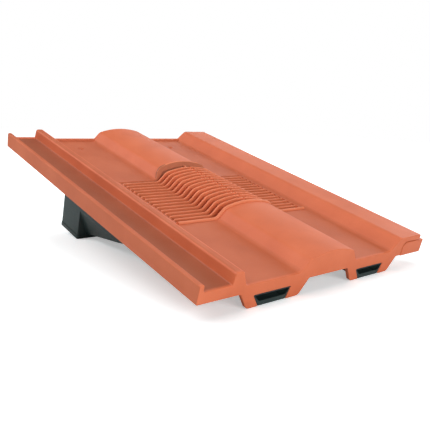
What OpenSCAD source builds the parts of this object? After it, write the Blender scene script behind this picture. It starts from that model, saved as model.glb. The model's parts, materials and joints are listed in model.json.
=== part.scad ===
// Ventilation tile of double Roman profile for a pitched roof.
// A moulded deck carries a louvred grille that follows the pan, the roll and the pan. A dark hollow
// duct hangs below it, with a rear spigot and two drain spouts that end in the feet of the nose.
// Tile frame: X across, Y from the nose to the head, Z square to the pans, whose tops are at Z = 0.
// The finished part lies as it rests on a floor, on its nose feet and the front rim of the spigot.

/* [Tile] */
// Length from the nose to the head
tile_l = 420; // [400:1:440]
// Width of the deck
tile_w = 330; // [322:1:340]
// Wall of the deck
wall = 3; // [2.5:0.25:3.5]
// Width that the next tile laps
side_lap = 30; // [26:0.5:34]

/* [Water channel] */
// Width of the outer rib
outer_rib_w = 5; // [4:0.5:7]
// Height of the outer rib above the pans
outer_rib_h = 10; // [7:0.5:14]
// Drop of the side skirt below the pans
skirt_drop = 8; // [5:0.5:10]
// Width of the channel floor
channel_w = 31; // [27:0.5:34]
// Height of the channel floor above the pans
channel_z = 3.3; // [1:0.1:5]
// Width of the inner rib's top
inner_rib_top_w = 9; // [8:0.5:11]
// Height of the inner rib above the pans
inner_rib_h = 15.3; // [11:0.1:17]
// Draft of the inner rib's sides, in degrees
inner_rib_draft = 9; // [4:0.5:12]

/* [Rolls] */
// Shift of the roll from the middle between the inner rib and the cover roll
roll_shift = 6.8; // [4:0.1:9]
// Height of the roll
roll_h = 17.8; // [15:0.1:20]
// Radius of the roll's crown
crown_r = 109; // [95:1:125]
// Half width of the crown
crown_half = 28.5; // [26:0.5:31]
// Radius of the roll's shoulders
shoulder_r = 10; // [7:0.5:12]
// Slope of the roll's flanks, in degrees
flank_a = 57; // [52:1:62]
// Radius of the hollow at a roll's foot
foot_hollow_r = 8; // [5:0.5:10]
// Width of the cover roll from its foot to the right edge
cover_w = 56; // [52:0.5:60]
// Height of the cover roll
cover_h = 14.4; // [13:0.1:16]
// Slope of the cover roll's flank, in degrees
cover_a = 45; // [40:1:52]
// Radius of the cover roll's crease
crease_r = 4; // [1.5:0.5:6]
// Height of the cover roll's edge, lip and all
lip_h = 6; // [4.5:0.5:7]

/* [Grille] */
// Front edge of the window from the nose
window_y = 127.5; // [122:0.5:134]
// Reach of the window past the middle of each pan
window_reach = 22; // [18:0.5:25]
// Number of slats
slat_count = 14; // [10:1:16]
// Distance between slats
slat_pitch = 8.15; // [7.8:0.05:8.6]
// Thickness of a slat
slat_t = 2.2; // [1.6:0.1:2.6]
// Depth of a slat below the deck's face
slat_depth = 4.5; // [4.25:0.25:5.5]
// Rise of the slats above the deck's face
slat_rise = 0.7; // [0.2:0.1:1.2]
// Window's front edge to the middle of the first slat
slat_start = 10.5; // [8:0.5:13]
// Middle of the last slat to the window's back edge
slat_end = 7; // [5:0.5:9]
// Thickness of the rib in front of the slats
brow_t = 3; // [2:0.25:4]
// Rise of that rib above the deck's face
brow_rise = 1.2; // [0.6:0.1:2]
// Lean of the window's back wall, in degrees
back_lean = 27; // [15:1:35]
// Thickness of the window's back wall
back_t = 2.5; // [1.5:0.25:3.5]
// Width of the groove along the slats' middle and ends
groove_w = 1.8; // [1:0.1:2.5]
// Depth of the groove below the deck's face
groove_d = 2; // [1:0.25:2.25]

/* [Nose] */
// Thickness of the nose apron
nose_t = 4; // [3:0.25:6]
// Drop of the apron below the pans
apron_drop = 8; // [6:0.5:10]
// Cover roll's foot to the apron's right end
apron_reach = 23; // [20:0.5:26]
// Radius of the lap's corner
lap_r = 7; // [4:0.5:9]
// Width of a foot where it leaves the apron
foot_top_w = 90; // [86:1:96]
// Width of a foot at its bottom
foot_bottom_w = 68; // [64:1:72]
// Drop of the feet below the pans
foot_drop = 25; // [23:0.5:28]
// Radius of the feet's lower corners
foot_r = 4; // [2:0.5:6]
// Width of a mouth at its top
mouth_top_w = 49; // [45:1:53]
// Width of a mouth at its bottom
mouth_bottom_w = 36; // [33:1:40]
// Drop of a mouth's top below the pans
mouth_top = 12; // [11:0.5:13]
// Shift of a mouth from the middle of its foot
mouth_shift = -4; // [-6:0.5:2]

/* [Head] */
// Width of the bead along the head
bead_w = 7; // [4:0.5:10]
// Height of the bead
bead_h = 1.3; // [0.6:0.1:2]
// Nail hole radius
nail_r = 2.5; // [2:0.1:3]
// Nail holes from the head
nail_back = 39; // [36:0.5:44]
// Shift of a nail hole from the middle of its pan
nail_shift = -7.5; // [-12:0.5:12]
// Width of a batten nib
nib_w = 32; // [24:1:40]
// Thickness of a batten nib
nib_t = 9; // [7:0.5:11]
// Drop of a batten nib below the deck's underside
nib_drop = 14; // [10:0.5:18]
// Front face of the nibs from the head
nib_back = 22; // [18:0.5:26]

/* [Underduct] */
// Wall of the duct
duct_wall = 2.5; // [2:0.1:3]
// Reach of the duct past the middle of each pan
duct_reach = 34; // [31:0.5:36]
// Back face of the spigot from the head
spigot_back = 57; // [48:1:66]
// Depth of the spigot from front to back
spigot_l = 48; // [44:1:54]
// Drop of the spigot below the pans
spigot_drop = 103; // [98:1:110]
// Height of the band round the spigot's rim
rim_h = 5.2; // [4:0.2:8]
// Rise of that band from the spigot's faces
rim_t = 0.8; // [0.4:0.1:1.5]
// Lead of the collector's front face before the window
collector_lead = 12.5; // [8:0.5:18]
// Drop of the collector's front end below the spouts
collector_sag = 2; // [1:0.25:6]
// Rise of the collector's back end above the spigot's rim
collector_step = 6; // [5.5:0.25:12]
// Drop of the line where the collector's sides begin to lean in
lean_drop = 62; // [56:1:68]
// Lean of the collector's lower sides, in degrees
side_lean = 20; // [14:1:24]
// Wall of a drain spout
spout_wall = 2; // [1.6:0.1:2.4]
// Height of the lip in a spout's mouth
spout_lip = 5; // [3:0.25:5.5]
// Set-back of a spout from the nose's face
spout_back = 0.4; // [0.2:0.1:2]

/* [Lap block] */
// Overhang of the block past the deck's right edge
block_over = 9; // [5:0.5:11]
// Depth of the block from the nose
block_l = 20; // [12:1:30]
// Drop of the block's bottom below the pans
block_drop = 9; // [7:0.5:11]

/* [Fits] */
// Clearance between the duct and the deck, and round the spouts
seat_gap = 0.2; // [0.1:0.05:0.3]
// Seam round the lap block
seam_gap = 0.3; // [0.1:0.05:0.5]

/* [Hidden] */

terracotta = "#cd6e50";
duct_black = "#2c3332";

// Overshoot of cutting shapes, and the length by which joined shapes share material
over = 1;
// Largest turn between two points of a rounded corner, in degrees
arc_step = 5;
round_sides = 48;

pan_pitch = (tile_w - side_lap) / 2;

// Side ribs
channel_x = outer_rib_w + channel_w;
inner_rib_lift = inner_rib_h - channel_z;
inner_rib_top_x = channel_x + inner_rib_lift * tan(inner_rib_draft);
inner_rib_foot_x = inner_rib_top_x + inner_rib_top_w + inner_rib_h * tan(inner_rib_draft);
deck_x = inner_rib_top_x + inner_rib_top_w - wall;

// Places of the rolls and the pans
cover_x = tile_w - cover_w;
roll_x = (inner_rib_foot_x + cover_x) / 2 + roll_shift;
pans = [roll_x - pan_pitch / 2, roll_x + pan_pitch / 2];

// Roll: crown, shoulders and flanks meet at these corners, measured from the roll's middle
crown_a = asin(crown_half / crown_r);
crown_edge_z = roll_h - crown_r * (1 - cos(crown_a));
apex_z = roll_h + crown_r * (1 / cos(crown_a) - 1);
shoulder_run = shoulder_r * tan((flank_a - crown_a) / 2);
shoulder_half = crown_half + shoulder_run * cos(crown_a);
shoulder_z = crown_edge_z - shoulder_run * sin(crown_a);
base_half = shoulder_half + shoulder_z / tan(flank_a);

// Deck's face from the inner rib to the right edge, as corners of place and radius
deck = [
    [deck_x, 0, 0],
    [roll_x - base_half, 0, foot_hollow_r],
    [roll_x - shoulder_half, shoulder_z, shoulder_r],
    [roll_x, apex_z, crown_r],
    [roll_x + shoulder_half, shoulder_z, shoulder_r],
    [roll_x + base_half, 0, foot_hollow_r],
    [cover_x, 0, foot_hollow_r],
    [cover_x + cover_h / tan(cover_a), cover_h, crease_r],
    [tile_w, cover_h, 0]
];

// Grille
window_w = pan_pitch + 2 * window_reach;
window_x = roll_x - window_w / 2;
window_l = slat_start + (slat_count - 1) * slat_pitch + slat_end;
back_y = window_y + window_l;

// Nose and lap
apron_end = cover_x + apron_reach;
lip_z = cover_h - lip_h;

// Duct
duct_w = pan_pitch + 2 * duct_reach;
duct_x = roll_x - duct_w / 2;
spigot_end = tile_l - spigot_back;
spigot_y = spigot_end - spigot_l;
spigot_rim_y = spigot_y - rim_t;
collector_y = window_y - collector_lead;
collector_front = foot_drop + collector_sag;
collector_back = spigot_drop - collector_step;
collector_slope = (collector_back - collector_front) / (spigot_y - collector_y);
floor_wall = duct_wall * sqrt(1 + pow(collector_slope, 2));
lean_wall = duct_wall / cos(side_lean);

// Rest: the nose feet and the spigot's front rim lie on the floor
rest_pitch = atan((spigot_drop - foot_drop) / spigot_rim_y);
floor_z = -foot_drop * cos(rest_pitch);
front_y = -roll_h * sin(rest_pitch);
rear_y = tile_l * cos(rest_pitch) + skirt_drop * sin(rest_pitch);
middle_x = (tile_w + block_over) / 2;
middle_y = (front_y + rear_y) / 2;

// Directions along a path of corners, and the corner's rounded and shifted form
function point(corner) = [corner.x, corner.y];
function heading(a, b) = (point(b) - point(a)) / norm(point(b) - point(a));
function left_of(d) = [-d.y, d.x];
function turned(v, a) = [v.x * cos(a) - v.y * sin(a), v.x * sin(a) + v.y * cos(a)];

function round_corner(corner, d1, d2, rise) =
    let (
        turn = atan2(cross(d1, d2), d1 * d2),
        side = sign(turn),
        n1 = left_of(d1),
        n2 = left_of(d2),
        tip = point(corner) + rise * (n1 + n2) / (1 + n1 * n2),
        r = max(corner.z - side * rise, 0),
        middle = tip - d1 * r * tan(abs(turn) / 2) + n1 * side * r,
        steps = ceil(abs(turn) / arc_step)
    )
    corner.z * r > 0 ? [for (k = [0:steps]) middle - side * r * turned(n1, turn * k / steps)] : [tip];

// Points of a path whose corners are rounded, raised square to itself by rise
function smooth(path, rise = 0) =
    let (last = len(path) - 1)
    concat(
        [point(path[0]) + rise * left_of(heading(path[0], path[1]))],
        [
            for (i = [1:last - 1])
                each round_corner(path[i], heading(path[i - 1], path[i]), heading(path[i], path[i + 1]), rise)
        ],
        [point(path[last]) + rise * left_of(heading(path[last - 1], path[last]))]
    );

function reversed(points) = [for (i = [len(points) - 1:-1:0]) points[i]];

// Lays the tile on the floor, with the origin under the middle of its box
module at_rest() {
    translate([-middle_x, -middle_y, -floor_z]) rotate([rest_pitch, 0, 0]) children();
}

// Stands a section of X and Z up, and runs it from y over length l
module along_y(y, l) {
    translate([0, y + l, 0]) rotate([90, 0, 0]) linear_extrude(l) children();
}

// Stands a section of Y and Z up, and runs it from x over length l
module along_x(x, l) {
    translate([x, 0, 0]) rotate([90, 0, 90]) linear_extrude(l) children();
}

// Band of the deck between two heights measured square to its face
module deck_band(top, bottom) {
    polygon(concat(smooth(deck, top), reversed(smooth(deck, bottom))));
}

// All that lies under the deck's face, lowered by drop, and above z
module under_deck(drop, z) {
    polygon(concat(smooth(deck, -drop), [[tile_w, z], [deck_x, z]]));
}

module inner_rib_outline(bottom) {
    polygon([
        [channel_x, bottom],
        [channel_x, channel_z],
        [inner_rib_top_x, inner_rib_h],
        [inner_rib_top_x + inner_rib_top_w, inner_rib_h],
        [inner_rib_foot_x, 0],
        [inner_rib_foot_x, bottom]
    ]);
}

module inner_rib_core() {
    polygon([
        [channel_x + wall, -wall - over],
        [inner_rib_top_x + wall, inner_rib_h - wall],
        [inner_rib_top_x + inner_rib_top_w - wall, inner_rib_h - wall],
        [inner_rib_foot_x - wall, -wall - over]
    ]);
}

// Section of the whole deck, the same from nose to head
module deck_section() {
    difference() {
        union() {
            deck_band(0, -wall);
            inner_rib_outline(-wall);
        }
        inner_rib_core();
    }
    translate([0, -skirt_drop]) square([wall, skirt_drop + channel_z]);
    translate([0, channel_z - wall]) square([channel_x + wall, wall]);
    square([outer_rib_w, outer_rib_h]);
    translate([tile_w - wall, lip_z]) square([wall, lip_h]);
}

// Window through the deck, with its back wall leaning away
module window() {
    low = -slat_depth - over;
    high = roll_h + over;
    along_x(window_x, window_w)
        polygon([
            [window_y, low],
            [window_y, high],
            [back_y + high * tan(back_lean), high],
            [back_y + low * tan(back_lean), low]
        ]);
}

// Wall that closes the back of the window, up to the face of the roll
module window_back() {
    thick = back_t / cos(back_lean);
    intersection() {
        along_y(window_y, tile_l - window_y) under_deck(wall / 2, -slat_depth);
        along_x(window_x - over, window_w + 2 * over)
            polygon([
                [back_y - slat_depth * tan(back_lean), -slat_depth],
                [back_y + roll_h * tan(back_lean), roll_h],
                [back_y + roll_h * tan(back_lean) + thick, roll_h],
                [back_y - slat_depth * tan(back_lean) + thick, -slat_depth]
            ]);
    }
}

// Stretch of a deck band from x over width w
module band_stretch(top, bottom, x, w) {
    intersection() {
        deck_band(top, bottom);
        translate([x, bottom - over]) square([w, roll_h + top - bottom + 2 * over]);
    }
}

// Section of one slat, with a groove over the roll's middle and one at each end
module slat_section() {
    end_w = groove_w + 2 * over;
    difference() {
        band_stretch(slat_rise, -slat_depth, window_x - over, window_w + 2 * over);
        band_stretch(slat_rise + over, -groove_d, roll_x - groove_w / 2, groove_w);
        band_stretch(slat_rise + over, -groove_d, window_x - 2 * over, end_w);
        band_stretch(slat_rise + over, -groove_d, window_x + window_w - groove_w, end_w);
    }
}

module grille() {
    for (k = [0:slat_count - 1])
        along_y(window_y + slat_start + k * slat_pitch - slat_t / 2, slat_t) slat_section();
    along_y(window_y - brow_t / 2, brow_t)
        band_stretch(brow_rise, -slat_depth, window_x - over, window_w + 2 * over);
    window_back();
}

// Outline of a trapezium that hangs between two heights
module hanging(x, top_w, bottom_w, top_z, bottom_z, r) {
    polygon(smooth([
        [x - top_w / 2, top_z, 0],
        [x - bottom_w / 2, bottom_z, r],
        [x + bottom_w / 2, bottom_z, r],
        [x + top_w / 2, top_z, 0]
    ]));
}

// Opening under the cover roll, for the side of the next tile: round in its upper corner
module lap_outline(gap, right, bottom) {
    polygon(concat(
        [[right, lip_z - gap]],
        [
            for (a = [0:arc_step:90])
                [apron_end + gap + lap_r * (1 - sin(a)), lip_z - gap - lap_r * (1 - cos(a))]
        ],
        [[apron_end + gap, lip_z - gap - lap_r], [apron_end + gap, bottom], [right, bottom]]
    ));
}

module nose_section() {
    difference() {
        union() {
            under_deck(0, -apron_drop);
            inner_rib_outline(-apron_drop);
            translate([0, -apron_drop]) square([channel_x + wall, channel_z + apron_drop]);
            for (x = pans) hanging(x, foot_top_w, foot_bottom_w, -apron_drop, -foot_drop, foot_r);
        }
        lap_outline(0, tile_w + over, -foot_drop);
        for (x = pans) mouth_outline(x, 0);
    }
}

// Mouth in a foot, open at the bottom, or the spout that fills it when drawn in by gap
module mouth_outline(x, gap) {
    drop = gap > 0 ? foot_drop : foot_drop + over;
    hanging(x + mouth_shift, mouth_top_w - 2 * gap, mouth_bottom_w - 2 * gap, -mouth_top - gap, -drop, 0);
}

module head_bead() {
    along_y(tile_l - bead_w, bead_w) {
        translate([inner_rib_foot_x - over, -over])
            square([roll_x - base_half - inner_rib_foot_x, bead_h + over]);
        translate([roll_x + base_half + over, -over])
            square([cover_x - roll_x - base_half - over, bead_h + over]);
        translate([outer_rib_w - over, channel_z - over]) square([channel_w + 2 * over, bead_h + over]);
    }
}

module tile_body() {
    color(terracotta) at_rest() {
        difference() {
            union() {
                along_y(0, tile_l) deck_section();
                along_y(0, nose_t) nose_section();
                head_bead();
                for (x = pans)
                    translate([x - nib_w / 2, tile_l - nib_back, -wall - nib_drop])
                        cube([nib_w, nib_t, nib_drop + wall / 2]);
            }
            window();
            for (x = pans)
                translate([x + nail_shift, tile_l - nail_back, -wall - over])
                    cylinder(h = wall + 2 * over, r = nail_r, $fn = round_sides);
        }
        grille();
    }
}

// Collector: a side view and a front view, each cut square through, shared
module collector(inset) {
    side = inset ? duct_wall : 0;
    lift = inset ? floor_wall : 0;
    lean = inset ? lean_wall : 0;
    reach = (spigot_drop - lean_drop) * tan(side_lean);
    intersection() {
        along_x(duct_x, duct_w)
            polygon([
                [collector_y + side, roll_h],
                [collector_y + side, -collector_front + lift - side * collector_slope],
                [spigot_y, -collector_back + lift],
                [spigot_y + spigot_l / 2, -collector_back + lift],
                [spigot_y + spigot_l / 2, roll_h]
            ]);
        along_y(collector_y, spigot_end - collector_y)
            polygon([
                [duct_x + side, roll_h],
                [duct_x + side, -lean_drop],
                [duct_x + lean + reach, -spigot_drop],
                [duct_x + duct_w - lean - reach, -spigot_drop],
                [duct_x + duct_w - side, -lean_drop],
                [duct_x + duct_w - side, roll_h]
            ]);
    }
}

module spigot(inset, top) {
    translate([duct_x + inset, spigot_y + inset, -spigot_drop - (inset > 0 ? over : 0)])
        cube([duct_w - 2 * inset, spigot_l - 2 * inset, top + spigot_drop + (inset > 0 ? over : 0)]);
}

module spout(x) {
    y = spout_back;
    l = collector_y + duct_wall - spout_back;
    difference() {
        along_y(y, l) mouth_outline(x, seat_gap);
        along_y(y + spout_wall, l) spout_hollow(x);
        along_y(y - over, l)
            intersection() {
                spout_hollow(x);
                translate([x - mouth_top_w, -foot_drop + spout_lip]) square([2 * mouth_top_w, foot_drop]);
            }
    }
}

module spout_hollow(x) {
    hanging(
        x + mouth_shift,
        mouth_top_w - 2 * (seat_gap + spout_wall),
        mouth_bottom_w - 2 * (seat_gap + spout_wall),
        -mouth_top - seat_gap - spout_wall,
        -foot_drop + spout_wall,
        0
    );
}

module underduct() {
    color(duct_black) at_rest() difference() {
        union() {
            intersection() {
                difference() {
                    union() {
                        collector(false);
                        spigot(0, roll_h);
                    }
                    collector(true);
                }
                along_y(0, tile_l) under_deck(wall + seat_gap, -spigot_drop);
            }
            translate([duct_x - rim_t, spigot_rim_y, -spigot_drop])
                cube([duct_w + 2 * rim_t, spigot_l + 2 * rim_t, rim_h]);
            for (x = pans) spout(x);
        }
        spigot(duct_wall, roll_h + over);
        for (x = pans) along_y(collector_y - over, duct_wall + 2 * over) spout_hollow(x);
    }
}

module lap_block() {
    color(terracotta) at_rest()
        along_y(0, block_l) lap_outline(seam_gap, tile_w + block_over, -block_drop);
}

tile_body();
underduct();
lap_block();
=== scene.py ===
"""Looks of a moulded ventilation tile of double Roman profile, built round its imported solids.

Shapes are worked out in the tile's own frame, in millimetres: X across, Y from the nose to the head and
Z square to the pans, whose tops are at Z = 0. TilePlace then lays them on the floor, in metres.
"""
import json
import logging
import math
from abc import ABC, abstractmethod
from dataclasses import dataclass, field, replace
from enum import Enum
from functools import cache
from typing import Any, Callable, ClassVar, Iterable, Mapping, Optional, Sequence

import bpy
import numpy as np
import numpy.typing as npt
from mathutils import Matrix, Vector


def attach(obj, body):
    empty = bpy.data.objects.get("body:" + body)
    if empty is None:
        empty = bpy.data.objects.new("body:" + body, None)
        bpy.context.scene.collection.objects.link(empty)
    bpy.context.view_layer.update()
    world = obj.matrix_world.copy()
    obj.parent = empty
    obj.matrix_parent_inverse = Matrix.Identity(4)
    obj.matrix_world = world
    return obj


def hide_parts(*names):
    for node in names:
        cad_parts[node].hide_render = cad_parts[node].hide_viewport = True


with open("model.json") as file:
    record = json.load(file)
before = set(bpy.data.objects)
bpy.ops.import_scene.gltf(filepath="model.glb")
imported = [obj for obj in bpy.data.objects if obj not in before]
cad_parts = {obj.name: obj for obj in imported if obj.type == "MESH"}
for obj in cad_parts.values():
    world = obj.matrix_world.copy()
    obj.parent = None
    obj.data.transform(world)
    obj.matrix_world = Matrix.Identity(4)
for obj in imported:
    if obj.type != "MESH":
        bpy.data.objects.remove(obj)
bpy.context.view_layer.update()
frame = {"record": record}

Array = npt.NDArray[np.float64]
Mask = npt.NDArray[np.bool_]
Corner = tuple[float, float, float]
Place = tuple[float, float, float]
Colour = tuple[float, float, float]

LOG = logging.getLogger("vent_tile")
BODY = "root"
# Name of the point attribute that holds painted shade: how far a finish's colour is darkened where shade
# falls.
PAINTED_SHADE = "painted_shade"
METRES = 0.001
# Arcs: the chord's error in millimetres, the least cosine of half a step, the least turn and number of
# steps, and the steps of a rounded edge.
CHORD_ERROR = 0.012
SWING_COS = 0.9
STRAIGHT = 1e-6
LEAST_STEPS = 2
ROUND_STEPS = 4
# Meshes: decimals of a row's place, size and shift of a weld's cells, and angles of sharp and soft edges.
ROW_DECIMALS = 6
WELD_STEP = 1e-3
WELD_SHIFT = 0.137
SHARP_ANGLE = math.radians(34.0)
BEVEL_ANGLE = math.radians(12.0)
BEVEL_SEGMENTS = 3


class Pan(Enum):
    """The two troughs of the tile, by their side of the roll."""

    LEFT = -1
    RIGHT = 1


class Slot(Enum):
    """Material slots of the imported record."""

    TERRACOTTA = "terracotta"
    DUCT_BLACK = "duct_black"


def left_of(directions: Array) -> Array:
    """Directions turned a quarter turn to the left: (x, z) becomes (-z, x)."""
    return np.stack([-directions[..., 1], directions[..., 0]], axis=-1)


def unit(vectors: Array) -> Array:
    """Vectors divided by their own lengths."""
    return vectors / np.linalg.norm(vectors, axis=-1, keepdims=True)


def corner_arc(tip: Array, ahead: Array, turn: float, radius: float) -> Array:
    """Points of the arc that rounds one corner of a path.

    The arc starts radius * tan(turn / 2) before the tip, and its points swing the start's normal through
    the turn about the arc's centre. The swing between two points keeps the chord within CHORD_ERROR, and
    its half has a cosine of SWING_COS at least.

    Args:
        tip: The corner.
        ahead: Unit direction of the leg that arrives at the corner.
        turn: Signed turn to the leg that leaves it, in radians.
        radius: Radius of the arc.

    Returns:
        The arc's points, one a row.
    """
    side = math.copysign(1.0, turn)
    normal = left_of(ahead)
    centre = tip - ahead * radius * math.tan(abs(turn) / 2) + normal * side * radius
    swing = 2 * math.acos(max(1 - CHORD_ERROR / radius, SWING_COS))
    angles = np.linspace(0.0, turn, max(math.ceil(abs(turn) / swing), LEAST_STEPS) + 1)
    cos, sin = np.cos(angles), np.sin(angles)
    swung = np.stack([normal[0] * cos - normal[1] * sin, normal[0] * sin + normal[1] * cos], axis=-1)
    return centre - side * radius * swung


def rounded(corners: Iterable[Corner], closed: bool = False) -> Array:
    """Points of a path whose corners are rounded by arcs tangent to both legs.

    Args:
        corners: The corners as (x, z, radius). A radius of 0 keeps the corner itself.
        closed: True if the last corner leads back to the first.

    Returns:
        The path's points, one a row.
    """
    table = np.asarray(list(corners), float)
    tips, radii = table[:, :2], table[:, 2]
    leaving = unit(np.roll(tips, -1, axis=0) - tips)
    arriving = np.roll(leaving, 1, axis=0)
    turns = np.arctan2(
        arriving[:, 0] * leaving[:, 1] - arriving[:, 1] * leaving[:, 0], (arriving * leaving).sum(axis=1)
    )
    plain = (radii == 0) | (np.abs(turns) < STRAIGHT)
    if not closed:
        plain[[0, -1]] = True
    points = np.concatenate(
        [
            tips[i : i + 1] if plain[i] else corner_arc(tips[i], arriving[i], turns[i], radii[i])
            for i in range(len(tips))
        ]
    )
    apart = np.linalg.norm(np.diff(points, axis=0), axis=1) > WELD_STEP
    return points[np.append(True, apart)]


def path_normals(points: Array, closed: bool) -> Array:
    """Left-hand normals of a path, long enough at a corner to shift both legs by one.

    The mitre of the two legs' normals n and m is (n + m) / (1 + n.m).

    Args:
        points: The path's points, one a row.
        closed: True if the last point leads back to the first.

    Returns:
        One normal for each point.
    """
    after = left_of(unit(np.roll(points, -1, axis=0) - points))
    before = np.roll(after, 1, axis=0)
    if not closed:
        before[0], after[-1] = after[0], before[-1]
    return (before + after) / (1 + (before * after).sum(axis=1, keepdims=True))


def edge_rows(radius: float) -> tuple[Array, Array]:
    """Depths r (1 - cos t) and insets r (1 - sin t) of the rows that round an edge through a quarter turn."""
    angles = np.linspace(0.0, math.pi / 2, ROUND_STEPS + 1)
    return radius * (1 - np.cos(angles)), radius * (1 - np.sin(angles))


def stand(outline: Array, y: npt.ArrayLike) -> Array:
    """Stands an outline of x and z up at y, as points of x, y and z."""
    return np.stack([outline[..., 0], np.broadcast_to(y, outline.shape[:-1]), outline[..., 1]], axis=-1)


def smooth_step(values: Array) -> Array:
    """Runs from 0 to 1 as values do, with level ends: 3 t^2 - 2 t^3."""
    t = np.clip(values, 0.0, 1.0)
    return t * t * (3 - 2 * t)


def round_box(left: float, right: float, low: float, top: float, *radii: float) -> Array:
    """Closed outline of a rectangle with one radius for all corners, or four from the lower left round."""
    tips = [(left, low), (right, low), (right, top), (left, top)]
    return rounded([(*tip, radius) for tip, radius in zip(tips, radii * len(tips))], closed=True)


def prism(outline: Array, front: float, back: float, edge: float) -> Array:
    """Grid of an outline carried along the tile, with both end edges rounded.

    Args:
        outline: Closed outline, as x and z.
        front: Where it starts.
        back: Where it ends.
        edge: Radius of the end edges.

    Returns:
        The grid as rows of rings.
    """
    x, z = outline[:, 0], outline[:, 1]
    clockwise = (np.roll(x, -1) * z - x * np.roll(z, -1)).sum() > 0
    outward = path_normals(outline, closed=True) * (1.0 if clockwise else -1.0)
    deep, inset = edge_rows(edge)
    insets = np.concatenate([inset, inset[::-1]])
    places = np.concatenate([front + deep, back - deep[::-1]])
    return stand(outline - insets[:, None, None] * outward, places[:, None])


@dataclass(frozen=True)
class TilePlace:
    """Where the tile lies: its frame's turn about X and its shift, in metres of the row frame."""

    turn: Array
    shift: Array

    @classmethod
    def from_record(cls, record: dict[str, Any], bore: str, bore_place: Sequence[float]) -> "TilePlace":
        """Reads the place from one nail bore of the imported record, whose axis is the tile's own Z.

        Args:
            record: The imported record.
            bore: Name of the bore's mount.
            bore_place: The bore's middle in the tile frame, in millimetres.

        Returns:
            The tile's place.
        """
        mount = next(m for m in record["mounts"] if m["name"] == bore)
        up = unit(np.asarray(mount["axis"], float))
        across = np.array([1.0, 0.0, 0.0])
        turn = np.stack([across, np.cross(up, across), up], axis=1)
        shift = np.asarray(mount["pos_m"], float) - turn @ (np.asarray(bore_place, float) * METRES)
        return cls(turn, shift)

    def to_row(self, points: Array) -> Array:
        """Takes points of the tile frame in millimetres to metres of the row frame."""
        return points * METRES @ self.turn.T + self.shift


@dataclass
class Shell:
    """A skin made of patches that meet vertex on vertex, in millimetres of the tile frame."""

    points: list[Array] = field(default_factory=list)
    faces: list[list[int]] = field(default_factory=list)
    count: int = 0
    bevel: float = 0.0
    # Painted shade for each point, or None.
    shade_paint: Optional[Callable[[Array], Array]] = None

    def add_points(self, points: Array) -> Array:
        """Adds points.

        Args:
            points: Points in a grid of any shape.

        Returns:
            Their numbers in the same shape.
        """
        numbers = np.arange(points[..., 0].size).reshape(points.shape[:-1]) + self.count
        self.points.append(points.reshape(-1, 3))
        self.count += numbers.size
        return numbers

    def add_grid(
        self, grid: Array, keep: Optional[Mask] = None, ring: bool = False, loop: bool = False
    ) -> None:
        """Adds a grid of points as quads that face along (column direction) x (row direction).

        Args:
            grid: Points as rows, columns and (x, y, z).
            keep: Which quads to keep, or None for all.
            ring: True if each row closes on itself.
            loop: True if the last row joins the first.
        """
        numbers = self.add_points(grid)
        if ring:
            numbers = np.concatenate([numbers, numbers[:, :1]], axis=1)
        if loop:
            numbers = np.concatenate([numbers, numbers[:1]], axis=0)
        quads = np.stack([numbers[:-1, :-1], numbers[:-1, 1:], numbers[1:, 1:], numbers[1:, :-1]], axis=-1)
        self.faces.extend((quads.reshape(-1, 4) if keep is None else quads[keep]).tolist())

    def add_cap(self, ring: Array) -> None:
        """Adds one face over a ring of points that turns counter-clockwise seen from outside."""
        self.faces.append(self.add_points(ring).tolist())

    def add_tube(self, grid: Array) -> None:
        """Adds a closed body: rows that close on themselves, with a cap on the first and the last.

        The rows are turned round where the sum of their spokes' cross products points against their run.

        Args:
            grid: Points as rows, columns and (x, y, z).
        """
        along = grid[-1].mean(axis=0) - grid[0].mean(axis=0)
        spokes = grid[0] - grid[0].mean(axis=0)
        turning = np.cross(spokes, np.roll(spokes, -1, axis=0)).sum(axis=0) @ along
        grid = grid if turning > 0 else grid[:, ::-1]
        self.add_grid(grid, ring=True)
        self.add_cap(grid[0, ::-1])
        self.add_cap(grid[-1])

    def welded(self) -> tuple[Array, list[list[int]]]:
        """Joins the points that lie on one another and drops those that no face uses.

        Points are one where they fall into the same cell of a grid of WELD_STEP. The grid is shifted by
        WELD_SHIFT of a cell, so that round sizes keep clear of the cells' borders.

        Returns:
            The points that are left, and the faces as numbers of points.
        """
        points = np.concatenate(self.points)
        keys = np.round(points / WELD_STEP + WELD_SHIFT).astype(np.int64)
        _, first, number = np.unique(keys, axis=0, return_index=True, return_inverse=True)
        number = number.ravel()
        sizes = np.array([len(f) for f in self.faces])
        corners = number[np.concatenate([np.asarray(f) for f in self.faces])]
        used, corners = np.unique(corners, return_inverse=True)
        faces = [f.tolist() for f in np.split(corners.ravel(), np.cumsum(sizes)[:-1])]
        return points[first[used]], faces

    def build(self, name: str, place: TilePlace) -> bpy.types.Object:
        """Puts the welded skin into a mesh object at the origin, smooth but for its sharp edges.

        Args:
            name: Name of the piece.
            place: Where the tile lies.

        Returns:
            The new object.
        """
        points, faces = self.welded()
        mesh = bpy.data.meshes.new(name)
        mesh.from_pydata(place.to_row(points).tolist(), [], faces)
        mesh.validate()
        mesh.shade_smooth()
        mesh.set_sharp_from_angle(angle=SHARP_ANGLE)
        # Painted shade is stored on the points, for the finish to darken its colour by.
        if self.shade_paint is not None:
            shade_layer = mesh.attributes.new(PAINTED_SHADE, "FLOAT", "POINT")
            shade_layer.data.foreach_set("value", self.shade_paint(points))
        piece = bpy.data.objects.new(name, mesh)
        bpy.context.scene.collection.objects.link(piece)
        if self.bevel > 0:
            soften = piece.modifiers.new("soft_edges", "BEVEL")
            soften.width = self.bevel * METRES
            soften.segments = BEVEL_SEGMENTS
            soften.limit_method = "ANGLE"
            soften.angle_limit = BEVEL_ANGLE
            soften.use_clamp_overlap = False
        flatten = piece.modifiers.new("flat_faces_stay_flat", "WEIGHTED_NORMAL")
        flatten.keep_sharp = True
        return piece


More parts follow.
